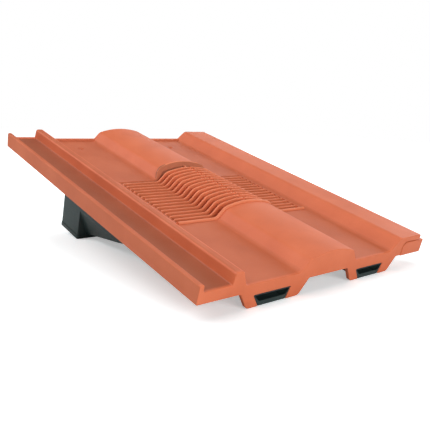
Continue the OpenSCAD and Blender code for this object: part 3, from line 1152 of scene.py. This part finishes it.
@dataclass
class Grille(Moulding):
    """Slats, brow rib, hood, spine and back wall that fill the window, in millimetres."""

    NAME = "tile_grille"
    FINISH = LIT_LOUVRE_TERRACOTTA

    deck: Deck
    slat_t: float = 2.2
    slat_depth: float = 8.0
    slat_rise: float = 0.7
    slat_round: float = 0.75
    slat_draft: float = 0.15
    brow_t: float = 4.2
    brow_rise: float = 2.3
    brow_round: float = 1.9
    hood_t: float = 2.4
    hood_rise: float = 2.4
    hood_sink: float = 0.5
    hood_depth: float = 3.6
    hood_round: float = 0.8
    hood_set: float = 0.1
    hood_blend: float = 8.0
    back_t: float = 2.5
    back_set: float = 0.15
    groove_w: float = 1.5
    groove_d: float = 1.8
    groove_ramp: float = 0.3
    groove_points: int = 13
    spine_drop: float = 1.5
    spine_round: float = 0.15
    # Painted shade: the slats' share of the deck's, the hood's front face's, and how far below the roll's top
    # the back wall's stops.
    slat_shade_share: float = 0.55
    hood_front_painted_shade: float = 0.65
    crest_skip: float = 1.0
    seat: float = 1.0
    foot_round: float = 0.3
    step: float = 0.9

    def __post_init__(self) -> None:
        """Works out the path of the slats: the deck's face across the window, a seat longer at both ends."""
        left, right = self.deck.window.ends(self.deck.profile)
        path = self.deck.face[self.deck.opening].copy()
        path[0, 0], path[-1, 0] = left - self.seat, right + self.seat
        normals = self.deck.normals[self.deck.opening]
        reach = np.append(0.0, np.cumsum(np.linalg.norm(np.diff(path, axis=0), axis=1)))
        self.crest = float(np.interp(self.deck.profile.roll_x, path[:, 0], reach))
        half = self.groove_w / 2 + self.groove_ramp
        even = np.linspace(0.0, reach[-1], math.ceil(reach[-1] / self.step) + 1)
        close = self.crest + np.linspace(-half, half, self.groove_points)
        self.run = np.sort(np.append(even[np.abs(even - self.crest) > half + WELD_STEP], close))
        self.path = np.column_stack([np.interp(self.run, reach, path[:, i]) for i in (0, 1)])
        self.normals = np.column_stack([np.interp(self.run, reach, normals[:, i]) for i in (0, 1)])

    def grooves(self) -> Array:
        """Share of the groove's depth along a slat: 1 over the crest and at both ends, else 0.

        At a distance d past a groove's edge the share is smooth_step(1 - d / groove_ramp).

        Returns:
            One share for each point of the path.
        """
        half = self.groove_w / 2
        at_end = half + self.seat / 2
        middles = np.array([at_end, self.crest, self.run[-1] - at_end])[:, None]
        halves = np.array([at_end, half, at_end])[:, None]
        off = np.abs(self.run[None, :] - middles) - halves
        return smooth_step(1 - off / self.groove_ramp).max(axis=0)

    def painted_shade(self, points: Array) -> Array:
        """How much painted shade points of the grille get: 1 behind the window's back plane, else a share of
        the deck's.

        A point is behind the leaning plane if y - z * tan(lean) is past the window's back edge; there the
        back wall is darkened with painted shade. The hood's front face has painted shade of its own.

        Args:
            points: Points of the tile frame.

        Returns:
            One value for each point.
        """
        p, w = self.deck.profile, self.deck.window
        past = points[:, 1] - points[:, 2] * math.tan(w.lean) - w.back_y
        # Painted shade on the back wall behind the slats and on the hood's front face.
        hollow = (past > self.back_set - WELD_STEP) & (points[:, 2] < p.roll_h - self.crest_skip)
        front = np.abs(past + self.hood_set + self.slat_draft / 2) < self.slat_draft
        plain = np.where(hollow, 1.0, self.slat_shade_share * p.painted_shade(points))
        return np.where(front, self.hood_front_painted_shade, plain)

    def bar(
        self, y: float, thickness: float, tops: Array, radius: float, depth: float = 0.0, lean: float = 0.0
    ) -> Array:
        """Grid of a bar that follows the deck across the window.

        Its cross-section has a round top and sides with draft. A point at height h of the section lies h
        above the deck, square to it, and the points of the top rise and fall with tops. A leaning bar lies
        z * tan(lean) further back at height z.

        Args:
            y: Middle of the bar along the tile, at height 0.
            thickness: Thickness of the bar near its top.
            tops: Height of its top along the path.
            radius: Radius of the top's edges.
            depth: Height of the section, or 0 for a slat's.
            lean: How far the bar leans back, in radians.

        Returns:
            The grid as rows of rings, one a point of the path.
        """
        half = thickness / 2
        low = half + self.slat_draft
        depth = depth or self.slat_depth
        section = rounded(
            [
                (-low, -depth, self.foot_round),
                (low, -depth, self.foot_round),
                (half, 0.0, radius),
                (-half, 0.0, radius),
            ],
            closed=True,
        )
        upper = section[:, 1] > -depth / 2
        heights = section[None, :, 1] + np.where(upper[None, :], tops[:, None], 0.0)
        raised = self.path[:, None, :] + heights[..., None] * self.normals[:, None, :]
        return stand(raised, y + section[None, :, 0] + raised[..., 1] * math.tan(lean))

    def hood(self) -> Array:
        """Grid of the lip that stands on the roll along the window's back edge and sinks into the pans.

        Its top lies hood_sink below the deck on a pan and climbs by a smooth step, over hood_blend of the
        roll's height, to hood_rise above it.

        Returns:
            The grid as rows of rings, one a point of the path.
        """
        w = self.deck.window
        climb = smooth_step(self.path[:, 1] / self.hood_blend)
        tops = (self.hood_rise + self.hood_sink) * climb - self.hood_sink
        y = w.back_y - self.hood_set + self.hood_t / 2
        return self.bar(y, self.hood_t, tops, self.hood_round, self.hood_depth, w.lean)

    def back_wall(self) -> Array:
        """Grid of the plate behind the slats, which leans back with the window's edge.

        The plate's front at height z lies z * tan(lean) behind the window's edge, and its top is sunk into
        the middle of the deck's wall.

        Returns:
            The grid as rows of rings, one a point of the path.
        """
        w = self.deck.window
        thick = self.back_t / math.cos(w.lean)
        top = self.path - self.deck.profile.wall / 2 * self.normals
        low = np.column_stack([top[:, 0], np.full(len(top), -self.slat_depth)])
        ring = np.stack([top, low, low, top], axis=1)
        shift = np.array([0.0, 0.0, thick, thick])
        return stand(ring, w.back_y + self.back_set + ring[..., 1] * math.tan(w.lean) + shift)

    def spine(self) -> Array:
        """Grid of the thin rib that ties the slats together along the crest, below their groove.

        Returns:
            The grid as rows of rings.
        """
        p, w, half = self.deck.profile, self.deck.window, self.groove_w / 2
        top = p.roll_h - self.spine_drop
        low = top - self.slat_depth
        outline = round_box(p.roll_x - half, p.roll_x + half, low, top, self.foot_round)
        return prism(outline, w.y, w.back_y + low * math.tan(w.lean), self.spine_round)

    def shell(self) -> Shell:
        """Works out the slats, the brow, the hood, the back wall and the spine, each a closed body.

        Returns:
            The skin.
        """
        # The grille's points carry painted shade.
        w, shell = self.deck.window, Shell(shade_paint=self.painted_shade)
        tops = self.slat_rise - (self.slat_rise + self.groove_d) * self.grooves()
        for k in range(w.slat_count):
            y = w.y + w.slat_start + k * w.slat_pitch
            shell.add_tube(self.bar(y, self.slat_t, tops, self.slat_round))
        level = np.full(len(self.run), self.brow_rise)
        brow = self.bar(w.y, self.brow_t, level, self.brow_round)
        for grid in (brow, self.hood(), self.back_wall(), self.spine()):
            shell.add_tube(grid)
        return shell


@dataclass
class BattenNibs(Moulding):
    """The two nibs under the head that hook over a batten, in millimetres."""

    NAME = "batten_nibs"
    FINISH = TERRACOTTA

    profile: Profile
    width: float = 32.0
    thickness: float = 9.0
    drop: float = 14.0
    from_head: float = 22.0
    corner_r: float = 2.0
    edge_round: float = 1.0

    def shell(self) -> Shell:
        """Works out both nibs, sunk into the deck by half its wall.

        Returns:
            The skin.
        """
        p, shell, half = self.profile, Shell(), self.width / 2
        top, low, front = -p.wall / 2, -p.wall - self.drop, p.length - self.from_head
        radii = (self.corner_r, self.corner_r, self.edge_round, self.edge_round)
        for x in map(p.pan_x, Pan):
            outline = round_box(x - half, x + half, low, top, *radii)
            shell.add_tube(prism(outline, front, front + self.thickness, self.edge_round))
        return shell


@dataclass
class LapBlock(Moulding):
    """Block in the lap under the cover roll at the nose, set off by a seam, in millimetres."""

    NAME = "nose_lap_block"
    FINISH = TERRACOTTA
    NODES = ("lap_block",)

    profile: Profile
    nose: Nose
    overhang: float = 9.0
    depth: float = 20.0
    drop: float = 9.0
    seam: float = 1.1
    corner_r: float = 1.1
    edge_round: float = 0.7

    def shell(self) -> Shell:
        """Works out the block, round where the lap's upper corner is.

        Returns:
            The skin.
        """
        left, right = self.nose.end_x(self.profile) + self.seam, self.profile.width + self.overhang
        radii = (self.corner_r, self.corner_r, self.corner_r, self.nose.lap_r)
        outline = round_box(left, right, -self.drop, self.profile.lip_z - self.seam, *radii)
        shell = Shell()
        shell.add_tube(prism(outline, 0.0, self.depth, self.edge_round))
        return shell


@dataclass
class Underduct(Moulding):
    """Dark duct below the deck: collector, rear spigot with its rim, and two drain spouts, in millimetres."""

    NAME = "vent_duct"
    FINISH = DUCT_BLACK
    NODES = ("underduct",)

    deck: Deck
    wall: float = 2.5
    reach: float = 34.0
    seat_gap: float = 0.2
    spigot_back: float = 57.0
    spigot_l: float = 48.0
    spigot_drop: float = 103.0
    rim_h: float = 5.2
    rim_t: float = 0.8
    rim_round: float = 0.35
    rim_corner: float = 1.6
    collector_lead: float = 12.5
    collector_sag: float = 2.0
    collector_step: float = 6.0
    lean_drop: float = 62.0
    side_lean: float = math.radians(20.0)
    spout_wall: float = 1.2
    spout_lip: float = 5.0
    spout_back: float = 0.4
    spout_round: float = 0.6
    spout_turn: float = 0.3
    top_points: int = 56
    edge_bevel: float = 0.9

    @property
    def ends(self) -> tuple[float, float]:
        """Left and right face of the duct.

        Returns:
            Both places across the tile.
        """
        p = self.deck.profile
        half = p.pan_pitch / 2 + self.reach
        return p.roll_x - half, p.roll_x + half

    @property
    def front(self) -> float:
        """Front face of the collector."""
        return self.deck.window.y - self.collector_lead

    @property
    def spigot_end(self) -> float:
        """Back face of the spigot."""
        return self.deck.profile.length - self.spigot_back

    @property
    def spigot_front(self) -> float:
        """Front face of the spigot."""
        return self.spigot_end - self.spigot_l

    def ceiling(self, left: float, right: float) -> Array:
        """Evenly spaced points just under the deck.

        Args:
            left: Where they start.
            right: Where they end.

        Returns:
            The points, as x and z.
        """
        part, drop = self.deck.deck, self.deck.profile.wall + 2 * self.seat_gap
        low = self.deck.face[part] - drop * self.deck.normals[part]
        x = np.linspace(left, right, self.top_points)
        return np.column_stack([x, np.interp(x, low[:, 0], low[:, 1])])

    @staticmethod
    def both_sides(points: Sequence[Place], left: float, right: float) -> tuple[Array, Array]:
        """Points whose x is measured inwards from the left face, and the same from the right one."""
        table = np.asarray(points, float)
        return table + [left, 0.0, 0.0], table * [-1.0, 1.0, 1.0] + [right, 0.0, 0.0]

    def walls(self, inset: float) -> tuple[list[Array], Array, Array]:
        """Flat walls of the duct, drawn in by inset: 0 gives the outer skin, and the wall the inner one.

        The floor falls in a straight line from the front to the spigot. Below lean_drop the sides lean in by
        side_lean. An inset lifts the floor by inset * sqrt(1 + slope^2) and moves a leaning side by
        inset / cos(side_lean), so the wall is as thick everywhere.

        Args:
            inset: How far the skin is drawn in.

        Returns:
            The walls' rings, turning counter-clockwise from outside the duct, the upper and the lower rim.
        """
        fall = self.deck.nose.foot_drop + self.collector_sag
        depth = self.spigot_drop - self.collector_step
        slope = (depth - fall) / (self.spigot_front - self.front)
        lift, tilt = inset * math.hypot(1.0, slope), math.tan(self.side_lean)
        shift = inset / math.cos(self.side_lean)
        left, right = self.ends[0] + inset, self.ends[1] - inset
        front, step = self.front + inset, self.spigot_front + inset
        back, low = self.spigot_end - inset, -self.spigot_drop
        shallow = -fall - inset * slope + lift
        deep = -depth + lift
        bend = -self.lean_drop + (shift - inset) / tilt
        bend_y = self.front + (lift - fall - bend) / slope
        draw = shift - inset + (-deep - self.lean_drop) * tilt
        roof = self.ceiling(left, right)
        front_roof, back_roof = stand(roof, front), stand(roof, back)
        floor_half = [
            (0.0, front, shallow),
            (0.0, bend_y, bend),
            (draw, self.spigot_front, deep),
            (draw, step, deep),
        ]
        step_half = [(0.0, step, bend), (0.0, step, low), (0.0, back, low)]
        ledge = inset > 0
        left_floor, right_floor = self.both_sides(floor_half if ledge else floor_half[:-1], left, right)
        left_step, right_step = self.both_sides(step_half, left, right)
        rings = [
            np.concatenate([left_floor[:1], right_floor[:1], front_roof[::-1]]),
            np.concatenate([right_step[2:], left_step[2:], back_roof]),
            np.concatenate([back_roof[:1], left_step[::-1], left_floor[1::-1], front_roof[:1]]),
            np.concatenate([front_roof[-1:], right_floor[:2], right_step, back_roof[-1:]]),
            np.concatenate([left_floor[1:], left_step[:1]])[::-1],
            np.concatenate([right_floor[1:], right_step[:1]]),
            np.concatenate([right_floor[2::-1], left_floor[:3]]),
            np.concatenate([left_step[:2], right_step[1::-1], right_floor[-1:], left_floor[-1:]]),
        ]
        if ledge:
            rings.append(np.concatenate([right_floor[:1:-1], left_floor[2:]]))
        upper = np.concatenate([front_roof, back_roof[::-1]])
        lower = np.concatenate([left_step[1:2], right_step[1:2], right_step[2:], left_step[2:]])
        return rings, upper, lower

    def spout(self, pan: Pan) -> Array:
        """Rings of one drain spout: outside, round the mouth, over the lip, inside and back.

        Args:
            pan: The pan that the spout lies under.

        Returns:
            The rings as rows. The last leads back to the first.
        """
        nose, profile = self.deck.nose, self.deck.profile
        skin = self.seat_gap + self.spout_wall
        bottom, front, back = -nose.foot_drop, self.spout_back, self.front + self.wall / 2
        outer, hollow = (
            rounded(nose.mouth(profile, pan, gap, low, self.spout_round), closed=True)
            for gap, low in ((self.seat_gap, bottom), (skin, bottom + self.spout_wall))
        )
        over_lip = np.column_stack([hollow[:, 0], np.maximum(hollow[:, 1], bottom + self.spout_lip)])
        middle = outer.mean(axis=0)
        drawn = middle + (outer - middle) * (1 - self.spout_round / np.abs(outer - middle).max(axis=0))
        rows = [
            (outer, back),
            (outer, front + self.spout_round),
            (outer + self.spout_turn * (drawn - outer), front + self.spout_turn * self.spout_round),
            (drawn, front),
            (over_lip, front),
            (over_lip, front + self.spout_wall),
            (hollow, front + self.spout_wall + self.spout_round),
            (hollow, back),
        ]
        return np.stack([stand(outline, y) for outline, y in rows])

    def spout_rim_painted_shade(self, points: Array) -> Array:
        """How much painted shade points of the spouts get: 1 on the front of a mouth's rim above its lip,
        else 0.

        Args:
            points: Points of the tile frame.

        Returns:
            One value for each point.
        """
        front = points[:, 1] < self.spout_back + self.spout_round + WELD_STEP
        above = points[:, 2] > self.spout_lip - self.deck.nose.foot_drop + WELD_STEP
        return np.where(front & above, 1.0, 0.0)

    def rim(self) -> Array:
        """Rings of the band round the spigot's lower end, carried round its rectangle.

        The band's section is a rectangle with rounded outer edges. Its path keeps the section's distance from
        the spigot's faces, with round corners.

        Returns:
            The rings as rows. The last leads back to the first.
        """
        radii = (0.0, self.rim_round, self.rim_round, 0.0)
        section = round_box(-self.wall / 2, self.rim_t, 0.0, self.rim_h, *radii)
        path = round_box(*self.ends, self.spigot_front, self.spigot_end, self.rim_corner)
        outward = -path_normals(path, closed=True)
        plan = path[None, :, :] + section[:, None, :1] * outward[None, :, :]
        height = np.broadcast_to(section[:, None, 1] - self.spigot_drop, plan.shape[:2])
        return np.concatenate([plan, height[..., None]], axis=-1)

    def shell(self) -> Shell:
        """Works out the collector with its spigot, as one closed body.

        Returns:
            The skin.
        """
        shell = Shell(bevel=self.edge_bevel)
        outer, outer_top, outer_low = self.walls(0.0)
        inner, inner_top, inner_low = self.walls(self.wall)
        for ring in outer:
            shell.add_cap(ring)
        for ring in inner:
            shell.add_cap(ring[::-1])
        shell.add_grid(np.stack([outer_top, inner_top]), ring=True)
        shell.add_grid(np.stack([inner_low, outer_low]), ring=True)
        return shell


@dataclass
class DuctEnds(Moulding):
    """Band round the duct's spigot and the two drain spouts, each a closed body."""

    NAME = "duct_ends"
    FINISH = DUCT_BLACK

    duct: Underduct

    def shell(self) -> Shell:
        """Works out the band and both spouts.

        Returns:
            The skin.
        """
        # Painted shade on the front of the mouths' rims.
        shell = Shell(shade_paint=self.duct.spout_rim_painted_shade)
        shell.add_grid(self.duct.rim(), ring=True, loop=True)
        for pan in Pan:
            shell.add_grid(self.duct.spout(pan), ring=True, loop=True)
        return shell


class LampRole(Enum):
    """What a lamp of the studio does."""

    FRONT = "front"
    TOP = "top"
    LEFT = "left"
    RIGHT = "right"
    SHEEN = "sheen"


@dataclass(frozen=True)
class Lamp:
    """A square soft box that looks at a point of the object, in metres and watts."""

    role: LampRole
    place: Place
    size: float
    power: float
    aim: Place = (0.0, 0.0, 0.06)

    def build(self) -> None:
        """Makes the lamp and turns it to its aim."""
        light = bpy.data.lights.new(self.role.value, "AREA")
        light.size = self.size
        light.energy = self.power
        lamp = bpy.data.objects.new(self.role.value, light)
        lamp.location = self.place
        lamp.rotation_euler = (Vector(self.aim) - Vector(self.place)).to_track_quat("-Z", "Y").to_euler()
        bpy.context.scene.collection.objects.link(lamp)


@dataclass(frozen=True)
class View:
    """The photograph's camera, in metres of the row frame."""

    place: Place = (-0.42989, -0.52379, 0.16569)
    right: Place = (0.76299, -0.64551, 0.03399)
    up: Place = (0.08932, 0.15735, 0.98350)
    lens: float = 45.69
    sensor: float = 36.0

    def build(self) -> None:
        """Makes the camera and sets it as the scene's."""
        data = bpy.data.cameras.new("photo_view")
        data.lens = self.lens
        data.sensor_width = self.sensor
        camera = bpy.data.objects.new("photo_view", data)
        right = Vector(self.right).normalized()
        back = right.cross(Vector(self.up)).normalized()
        turn = Matrix((right, back.cross(right), back)).transposed().to_4x4()
        camera.matrix_world = Matrix.Translation(self.place) @ turn
        bpy.context.scene.collection.objects.link(camera)
        bpy.context.scene.camera = camera


@dataclass
class Studio:
    """Plain pale floor, even white surroundings and soft boxes, in metres."""

    view: View = field(default_factory=View)
    ambient: float = 0.08
    floor_half: float = 4.0
    floor_tone: Colour = (0.88, 0.965, 0.985)
    floor_glow: float = 0.42
    fade: tuple[float, float] = (0.35, 0.9)
    lamps: tuple[Lamp, ...] = (
        Lamp(LampRole.FRONT, (-0.35, -1.9, 0.55), 1.0, 22.5),
        Lamp(LampRole.TOP, (0.0, -0.2, 2.1), 1.6, 16.0),
        Lamp(LampRole.LEFT, (-1.1, 0.9, 1.4), 1.0, 22.0),
        Lamp(LampRole.RIGHT, (1.9, 0.1, 0.75), 1.0, 13.0),
        Lamp(LampRole.SHEEN, (1.3, 1.2, 1.0), 1.0, 5.5),
    )

    def surroundings(self) -> None:
        """Makes the world: white to the camera, and to all else an even light at the ambient level."""
        world = bpy.data.worlds.new("white_surroundings")
        bpy.context.scene.world = world
        world.use_nodes = True
        tree = world.node_tree
        seen = add_node(tree, "LightPath").outputs["Is Camera Ray"]
        level = add_range(tree, seen, (0.0, 1.0), (self.ambient, 1.0))
        feed(tree, tree.nodes["Background"], {"Color": (1.0, 1.0, 1.0, 1.0), "Strength": level})

    def floor(self) -> None:
        """Makes the floor: pale and matt, with a glow to the camera that takes it into the white behind.

        The glow rises by a smooth step from floor_glow to 1, between the two distances of fade.
        """
        half = self.floor_half
        corners = [(-half, -half, 0.0), (half, -half, 0.0), (half, half, 0.0), (-half, half, 0.0)]
        mesh = bpy.data.meshes.new("studio_floor")
        mesh.from_pydata(corners, [], [(0, 1, 2, 3)])
        plane = bpy.data.objects.new("studio_floor", mesh)
        bpy.context.scene.collection.objects.link(plane)
        made = bpy.data.materials.new("pale_floor")
        made.use_nodes = True
        tree = made.node_tree
        matt = tree.nodes["Principled BSDF"]
        feed(tree, matt, {"Base Color": (*self.floor_tone, 1.0), "Roughness": 1.0, "Specular IOR Level": 0.0})
        place = add_node(tree, "TexCoord").outputs["Object"]
        away = add_node(tree, "VectorMath", {0: place}, operation="LENGTH").outputs["Value"]
        rise = add_range(tree, away, self.fade, (self.floor_glow, 1.0), interpolation_type="SMOOTHSTEP")
        seen = add_node(tree, "LightPath").outputs["Is Camera Ray"]
        level = add_node(tree, "Math", {0: rise, 1: seen}, operation="MULTIPLY").outputs[0]
        glow = add_node(tree, "Emission", {"Strength": level})
        both = add_node(tree, "AddShader", {0: matt.outputs[0], 1: glow.outputs[0]})
        feed(tree, tree.nodes["Material Output"], {"Surface": both.outputs[0]})
        mesh.materials.append(made)

    def build(self) -> None:
        """Builds the surroundings, the floor, the lamps and the camera."""
        bpy.context.scene.view_settings.view_transform = "Standard"
        self.surroundings()
        self.floor()
        for lamp in self.lamps:
            lamp.build()
        self.view.build()


def main() -> None:
    """Builds the pieces in order, dresses them and reports each one."""
    logging.basicConfig(level=logging.INFO, format="%(name)s: %(message)s")
    Studio().build()
    profile, window, nose, nail = Profile(), Window(), Nose(), NailHole()
    bore_place = (nail.x(profile, Pan.LEFT), nail.y(profile), -profile.wall / 2)
    place = TilePlace.from_record(frame["record"], "nail_left", bore_place)
    deck = Deck(profile, window, nose, nail)
    duct = Underduct(deck)
    for part in (deck, Grille(deck), BattenNibs(profile), LapBlock(profile, nose), duct, DuctEnds(duct)):
        piece = part.build(place)
        part.dress(piece)
        LOG.info("%s: %d faces", piece.name, len(piece.data.polygons))


if __name__ == "__main__":
    main()
